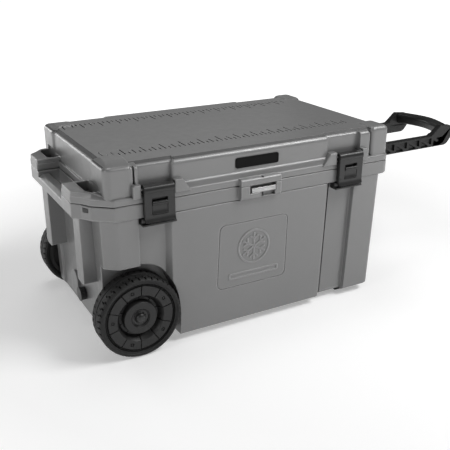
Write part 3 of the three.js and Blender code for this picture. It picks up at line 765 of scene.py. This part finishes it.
# the lock block's upper half, and the latches' recesses with an ear on each side
hasp = [(-252, LID_BOTTOM), (-275.5, LID_BOTTOM, 1), (-275.5, 421, 3), (-271, RIM_TOP, 3), (-252, RIM_TOP)]
add(lid, prism("x", rounded(hasp, 4), *HASP_X))
for c in LATCH_X:
    cut(lid, box(c - LATCH_HALF - 3, c + LATCH_HALF + 3, -300, -243, RIM_TOP, 520))
for c in LATCH_X:
    inner = 1 if c < 0 else -1
    for near, far, slope in ((LATCH_HALF + 3, LATCH_HALF + 28, 20), (LATCH_HALF + 3, LATCH_HALF + 24, 0)):
        way = inner if slope else -inner
        ear = [(near, RIM_TOP - 5), (far + slope, RIM_TOP - 5), (far, 449), (far - 3, 453), (near + 1, 453)]
        add(lid, soft("y", [(c + way * x, z) for x, z in ear], -268, -244, 2.5))

# hinge knuckles, the hollow for the foam and liner, and the holes
webs = together([box(a, b, 250, 268, 412, 418) for a, b in LID_KNUCKLES])
add(lid, knuckles(LID_KNUCKLES, KNUCKLE_R), webs)
cut(lid, box(-406, 403, -232, 232, 404, 492), knuckles(TUB_KNUCKLES, KNUCKLE_R + KNUCKLE_GAP, 0.5))
cut(lid, disc("x", *HINGE_AXIS, HINGE_HOLE_R, -400, 400), disc("z", *PADLOCK, 400, 440))
cut(lid, together([disc("x", *LATCH_AXIS, LATCH_HOLE_R, c - 58, c + 58) for c in LATCH_X]))

# engraved tick rows, without numbers
TICK = 13.4                     # from one tick to the next
TICKS = 55
TICK_HALF = 1.7
TICK_DEPTH = 1.8
FRONT_ROW = (-386, -168, (46, 17, 32, 17))      # first tick's x, outer end's y, lengths in turn
REAR_ROW = (-388, 185, (48, 18, 32, 18))
ticks = []
for start, outer, lengths in (FRONT_ROW, REAR_ROW):
    inward = -math.copysign(1, outer)
    for k in range(TICKS):
        x = start + TICK * k
        y0, y1 = sorted((outer, outer + inward * lengths[k % 4]))
        ticks.append(box(x - TICK_HALF, x + TICK_HALF, y0, y1, PANEL_TOP - TICK_DEPTH, PANEL_TOP + 3))
between = [((FRONT_ROW[0] + TICK * (k - 0.5), 0, 0), (1, 0, 0)) for k in range(1, TICKS + 1)]
score(lid, lambda f: f.normal.z > 0.999 and abs(f.calc_center_median().z - PANEL_TOP) < 0.01,
      [((0, 0, 0), (0, 1, 0))] + between)
cut(lid, together(ticks))
shell = piece("lid_shell_moulded", lid, "lid", "shell_grey", ["lid_shell"], bevel=0)

# painted shade: the sloping bands around the top get the dark shade material, and the engraved ticks' own
# faces the darkest
shell.data.materials.append(PAINTED_SHADE)
shell.data.materials.append(TICK_PAINTED_SHADE)
BAND_BOTTOM = 496.5
for polygon in shell.data.polygons:
    x, y, z = (c / MM for c in polygon.center)
    half = 214 if x + CENTRE_X < -395 else 247
    sloping = 0.5 < polygon.normal.z < 0.93
    if sloping and BAND_BOTTOM < z < PANEL_TOP - 0.1 and abs(y) < half:
        polygon.material_index = 1
    if -TICK_DEPTH - 0.1 < z - PANEL_TOP < -0.1 and abs(y) < 190 and abs(x + CENTRE_X) < 400:
        polygon.material_index = 2

# ---- nameplate and lock plate -------------------------------------------
(x0, x1), (z0, z1) = span("nameplate", "x"), span("nameplate", "z")
BORDER = 3              # width of the plate's raised border
name = prism("y", rect(x0, x1, z0, z1, 5), *span("nameplate", "y"))
cut(name, prism("y", rect(x0 + BORDER, x1 - BORDER, z0 + BORDER, z1 - BORDER, 3), -258, -256))
piece("nameplate_blank", name, "lid", "trim_black", ["nameplate"], NAME, bevel=0.5)

lock = prism("x", rect(*span("lock_plate", "y"), *span("lock_plate", "z"), 0.8, 3), *span("lock_plate", "x"))
cut(lock, box(-50, 50, -280, -273.4, 389.6, 391.2), box(-50, 50, -280, -273.4, 393.2, 394.6))
cut(lock, disc("z", *PADLOCK, 380, 400))
piece("lock_plate_steel", lock, "tub", "steel", ["lock_plate"], PLATE, bevel=0.4)

# ---- latches ------------------------------------------------------------
# profiles over (y, z), from the hood round the pin down the outside and up the back
hood = circle(*LATCH_AXIS, 12, 13, 0, 120)
nose = curve([hood[-1], (-274.5, 448.5), (-278, 441), (-278.2, 435.5), (-275.6, 432.5)])
flare = curve([(-275.5, 380), (-275.6, 371), (-277.4, 364), (-281, 357), (-281.2, 354.5)])
back = [(-277, 353.5), (-270, 362), (-266, 372), (-265, 380), (-265, 429), (-253, 430)]
LATCH_PROFILE = hood + nose[1:] + flare + back
thumb = curve([(-277.6, 380), (-275, 387), (-274.6, 398), (-275.4, 402)])
BUTTON_PROFILE = ([(-270.5, 378), (-276.3, 378), (-277.6, 379.5)] + thumb
                  + [(-278.6, 403.5), (-279.2, 406.5), (-278, 409.5), (-275.5, 411), (-270.5, 411)])
BUTTON_HALF = 20
LATCH_FOOT = 355.5              # height of the bowed lower edge at its middle
LATCH_BOW = 150                 # and its radius

for c, word in zip(LATCH_X, SIDES):
    x0, x1 = c - LATCH_HALF, c + LATCH_HALF
    latch = soft("x", LATCH_PROFILE, x0, x1, 1.2, 1.2, 3)
    arc = circle(c, LATCH_FOOT + LATCH_BOW, LATCH_BOW, 25, 254, 286)
    cut(latch, prism("y", arc + [(c + 60, 340), (c - 60, 340)], -300, -250))
    cut(latch, box(c - BUTTON_HALF - 0.3, c + BUTTON_HALF + 0.3, -280, -266.2, 377.7, 419))
    cut(latch, disc("x", *LATCH_AXIS, LATCH_HOLE_R, x0 - 5, x1 + 5))
    piece(f"latch_{word}_plate", latch, f"latch_{word}", "trim_black", [f"latch_{word}"], bevel=0.8)
    button = soft("x", BUTTON_PROFILE, c - BUTTON_HALF, c + BUTTON_HALF, 0.8, 0.8, 2)
    piece(f"latch_{word}_push_button", button, f"button_{word}", "trim_black",
          [f"latch_button_{word}"], bevel=0.6)

# ---- wheels -------------------------------------------------------------
LUGS = 40
PADS = 5                # raised pads round the hub's face
PAD_TURN = 105          # where the first one stands, in degrees
PAD_R = 74.5


def polar(r, degrees):
    """Point (x, z) round the axle."""
    a = math.radians(degrees)
    return WHEEL[0] + r * math.cos(a), WHEEL[1] + r * math.sin(a)


for s, word in ((-1, "front"), (1, "rear")):
    body = f"wheel_{word}"

    def turned(points, count=144):
        return spin([(r, s * y) for r, y in points], count)

    # the tyre, with notches between its lugs and a groove round the tread
    tyre = turned([(92.3, INNER + 6), (98, INNER + 3), (103, INNER + 2), (106.5, INNER + 4.5),
                   (WHEEL_R, INNER + 9), (WHEEL_R, OUTER - 9), (107.6, OUTER - 5), (105.4, OUTER - 1.6),
                   (103, OUTER), (99, OUTER - 0.4), (97.5, OUTER - 2), (94, OUTER - 2.2),
                   (92.3, OUTER - 6)])
    notches = []
    rows = ((0, OUTER - 13, OUTER + 4, 105), (0.5, INNER - 4, INNER + 13, 105),
            (0.25, OUTER - 22, OUTER - 12, 106.6), (0.75, INNER + 12, INNER + 22, 106.6))
    for k in range(LUGS):
        for shift, y0, y1, foot in rows:
            mid = 360 / LUGS * (k + shift)
            shape = [polar(foot, mid - 0.9), polar(112, mid - 1.5),
                     polar(112, mid + 1.5), polar(foot, mid + 0.9)]
            notches.append(prism("y", shape, *side(s, y0, y1)))
    cut(tyre, together(notches))
    groove = turned([(106.5, 240.5), (112, 239), (112, 245), (106.5, 243.5)])
    cut(tyre, groove)
    piece(f"{body}_tyre_moulded", tyre, body, "tyre_rubber", [f"wheel_{word}_tyre"], bevel=0)

    # the hub, whose face is parted into pads by radial grooves, each pad with a screw in a dent
    hub = turned([(16.3, INNER + 2), (30, INNER + 2), (30, INNER + 12), (80, INNER + 12), (80, INNER + 8),
                  (92, INNER + 8), (92, OUTER - 6), (90.5, OUTER - 4.5), (89.6, OUTER - 4.5),
                  (89, OUTER - 7.5), (87.2, OUTER - 7.5), (86.6, OUTER - 4), (85.6, OUTER - 3.4),
                  (63.4, OUTER - 3.4), (62, OUTER - 4.4), (52, OUTER - 22), (45, OUTER - 22),
                  (43.4, OUTER - 6.2), (42, OUTER - 5), (25.5, OUTER - 5), (24, OUTER - 6.5),
                  (24, OUTER - 14), (16.3, OUTER - 14)])
    grooves, dents = [], []
    for k in range(PADS):
        mid = PAD_TURN + 360 / PADS * k
        for edge in (mid - 18.5, mid + 18.5):
            across = Vector((-math.sin(math.radians(edge)), math.cos(math.radians(edge)))) * 0.9
            for r0, r1, depth in ((61, 88, 8), (46, 61.5, 24)):
                ends = Vector(polar(r0, edge)), Vector(polar(r1, edge))
                line = [tuple(p + t * across) for p, t in zip(ends + ends[::-1], (-1, -1, 1, 1))]
                grooves.append(prism("y", line, *side(s, OUTER - depth, OUTER + 3)))
        dents.append(loft([(s * (OUTER - 6.4), circle(*polar(PAD_R, mid), 4.2, 24)),
                           (s * (OUTER + 1), circle(*polar(PAD_R, mid), 6.4, 24))], "y"))
    cut(hub, together(grooves[::2]), together(grooves[1::2]), together(dents))
    screws = [disc("y", *polar(PAD_R, PAD_TURN + 360 / PADS * k), 2.8, *side(s, OUTER - 9, OUTER - 4.4), 6)
              for k in range(PADS)]
    add(hub, together(screws))
    piece(f"{body}_hub_moulded", hub, body, "trim_black", [f"wheel_{word}_hub"], HUB, bevel=0.7)
    cap = turned([(0, OUTER - 3.2), (9, OUTER - 3.2), (9, OUTER - 13), (23.6, OUTER - 13),
                  (23.6, OUTER - 6.5), (22.2, OUTER - 6.2), (21, OUTER - 9.6), (15, OUTER - 10.4),
                  (13.4, OUTER - 8.4), (12.8, OUTER - 3.6), (11, OUTER - 1.1), (8, OUTER + 0.5),
                  (4, OUTER + 1.3), (0, OUTER + 1.5)], 48)
    piece(f"{body}_cap_domed", cap, body, "trim_black", [f"wheel_{word}_cap"], bevel=0.4)

# ---- trolley handle -----------------------------------------------------
BAYS = 6                # pairs of triangular pockets along each arm
BAY_START = PIVOT[0] + 22
BAY_END = 790
BAY = (BAY_END - BAY_START) / BAYS
arm_shape = rounded([
    (PIVOT[0] - 18, ARM_Z[0], 17), (800, ARM_Z[0] + 2, 26), (822, ARM_Z[0] + 30, 5), (818, 428, 6),
    (770, 433, 6), (732, ARM_Z[1] + 1, 14), (PIVOT[0] - 18, ARM_Z[1], 17)], 8)
cheek = rounded([
    (WALL_RIGHT + 5, 300), (WALL_RIGHT + 20, 300, 4), (440, 352, 14), (PIVOT[0] + 17, 362, 8),
    (PIVOT[0] + 17, 401, 10), (430, 401, 4), (430, 364, 4), (WALL_RIGHT + 5, 362)], 6)
for s, word in ((-1, "front"), (1, "rear")):
    y = s * HANDLE_Y
    arm = prism("y", arm_shape, y - ARM_HALF, y + ARM_HALF)
    pockets = []
    for k in range(BAYS):
        x = BAY_START + k * BAY
        deep = (y + s * (ARM_HALF - 6), y + s * (ARM_HALF + 2))
        lower = [(x + 4, ARM_Z[0] + 5, 2), (x + BAY - 13, ARM_Z[0] + 5, 2), (x + 4, ARM_Z[1] - 11, 2)]
        upper = [(x + BAY - 4, ARM_Z[0] + 9, 2), (x + BAY - 4, ARM_Z[1] - 5, 2),
                 (x + 12, ARM_Z[1] - 5, 2)]
        pockets += [prism("y", rounded(lower, 3), *deep), prism("y", rounded(upper, 3), *deep)]
    cut(arm, together(pockets))
    cut(arm, disc("y", *PIVOT, PIVOT_HOLE_R, y - 20, y + 20), box(740, 860, *side(s, 80, 94.3), 390, 440))
    piece(f"handle_arm_{word}_moulded", arm, "handle", "trim_black", [f"handle_arm_{word}"], GRIP,
          bevel=0.7)

    bracket = prism("x", rect(y - 30, y + 30, 296, 362, 4), WALL_RIGHT + 0.3, WALL_RIGHT + 8)
    add(bracket, prism("y", cheek, y - 17, y + 17))
    cut(bracket, box(400, 520, y - ARM_HALF - 0.6, y + ARM_HALF + 0.6, 340, 420))
    cut(bracket, disc("y", *PIVOT, PIVOT_HOLE_R, y - 30, y + 30))
    bolt_holes = [disc("x", y + t * 23.5, 329, 4, WALL_RIGHT - 5, WALL_RIGHT + 20) for t in (-1, 1)]
    cut(bracket, together(bolt_holes))
    piece(f"handle_bracket_{word}_moulded", bracket, "tub", "trim_black", [f"handle_bracket_{word}"],
          bevel=1.0)

# the grip, bowed outward in plan between the arms
GRIP_STEPS = 32
rings = []
for k in range(GRIP_STEPS + 1):
    y = -GRIP_HALF + 2 * GRIP_HALF * k / GRIP_STEPS
    cx = 798.8 + 14 * math.cos(math.pi * y / 230) ** 2 - 0.0012 * y * y
    section = [(cx - 23, 431, 10), (cx - 15, 398, 8), (cx + 17, 396, 10), (cx + 22, 424, 8),
               (cx + 13, 432, 6)]
    rings.append((y, rounded(section, 5)))
piece("handle_grip_bowed", loft(rings, "y"), "handle", "trim_black", ["handle_grip"], GRIP, bevel=0.8)

# ---- CAD nodes that stay ------------------------------------------------
slot_of = {row["node"]: row["material_slot"] for row in frame["record"]["subparts"]}
for name, node in frame["nodes"].items():
    if node.hide_render:
        continue
    node.data.materials.clear()
    node.data.materials.append(SLOTS[slot_of[name]])
    soften(node, 0.0 if "foam" in name else 0.4, weld=True)

# ---- floor, light and camera --------------------------------------------
FLOOR = 30              # half its width, in metres
floor_mesh = bpy.data.meshes.new("floor")
floor_mesh.from_pydata([(-FLOOR, -FLOOR, 0), (FLOOR, -FLOOR, 0), (FLOOR, FLOOR, 0), (-FLOOR, FLOOR, 0)],
                       [], [(0, 1, 2, 3)])
floor = bpy.data.objects.new("floor", floor_mesh)
scene.collection.objects.link(floor)
ground = Finish("floor_pale")
ground.link(ground.mix(ground.ramp(ground.noise(0.7, 3), 0.3, 0.7), grey(0.80), grey(0.83)), "Base Color")

# it glows more with distance from the object, so that it runs out into the white background
away = ground.node("ShaderNodeVectorMath", {0: ground.coords}, operation="LENGTH").outputs["Value"]
ground.link(ground.ramp(away, 0.9, 2.6, 0.30, 0.95), "Emission Strength")
ground.shader.inputs["Emission Color"].default_value = (1, 1, 1, 1)
ground.shader.inputs["Roughness"].default_value = 0.8
ground.shader.inputs["Specular IOR Level"].default_value = 0.1
floor_mesh.materials.append(ground.material)


def area(name, place, aim, size, power):
    """White area light, in metres and watts, turned towards a point."""
    light = bpy.data.lights.new(name, "AREA")
    light.shape, light.size, light.size_y = "RECTANGLE", *size
    light.energy = power
    lamp = bpy.data.objects.new(name, light)
    scene.collection.objects.link(lamp)
    lamp.location = place
    lamp.rotation_euler = (Vector(aim) - Vector(place)).to_track_quat("-Z", "Y").to_euler()


area("key", (-3.2, -1.0, 1.6), (-0.2, 0, 0.25), (1.2, 1.4), 18)
area("top", (-0.4, 0.5, 3.2), (0, 0, 0.3), (1.6, 1.2), 17)
area("front", (1.3, -1.4, 2.4), (0.1, 0, 0.4), (1.5, 1.1), 58)
area("sheen", (0.9, 2.8, 1.8), (-0.1, 0, 0.45), (2.0, 1.0), 2.5)
area("back", (-1.7, 3.2, 1.0), (0, 0, 0.25), (1.6, 1.0), 24)

# the background is white to look at, and lights the object only weakly
SKY_LIGHT = 0.11
scene.world = bpy.data.worlds.new("studio")
scene.world.use_nodes = True
sky = scene.world.node_tree
glow = sky.nodes.new("ShaderNodeMapRange")
glow.inputs["To Min"].default_value = SKY_LIGHT
sky.links.new(sky.nodes.new("ShaderNodeLightPath").outputs["Is Camera Ray"], glow.inputs["Value"])
sky.nodes["Background"].inputs["Color"].default_value = (1, 1, 1, 1)
sky.links.new(glow.outputs["Result"], sky.nodes["Background"].inputs["Strength"])
scene.view_settings.view_transform = "Standard"

camera_data = bpy.data.cameras.new("camera")
camera_data.lens = 55.38
camera_data.sensor_width = 36
camera_data.clip_end = 100
camera = bpy.data.objects.new("camera", camera_data)
camera.location = (-1.07965, -1.69734, 0.96381)
pitch, heading = 68.2255, -28.9226      # degrees up from straight down, and round from +Y
camera.rotation_euler = (math.radians(pitch), 0, math.radians(heading))
scene.collection.objects.link(camera)
scene.camera = camera
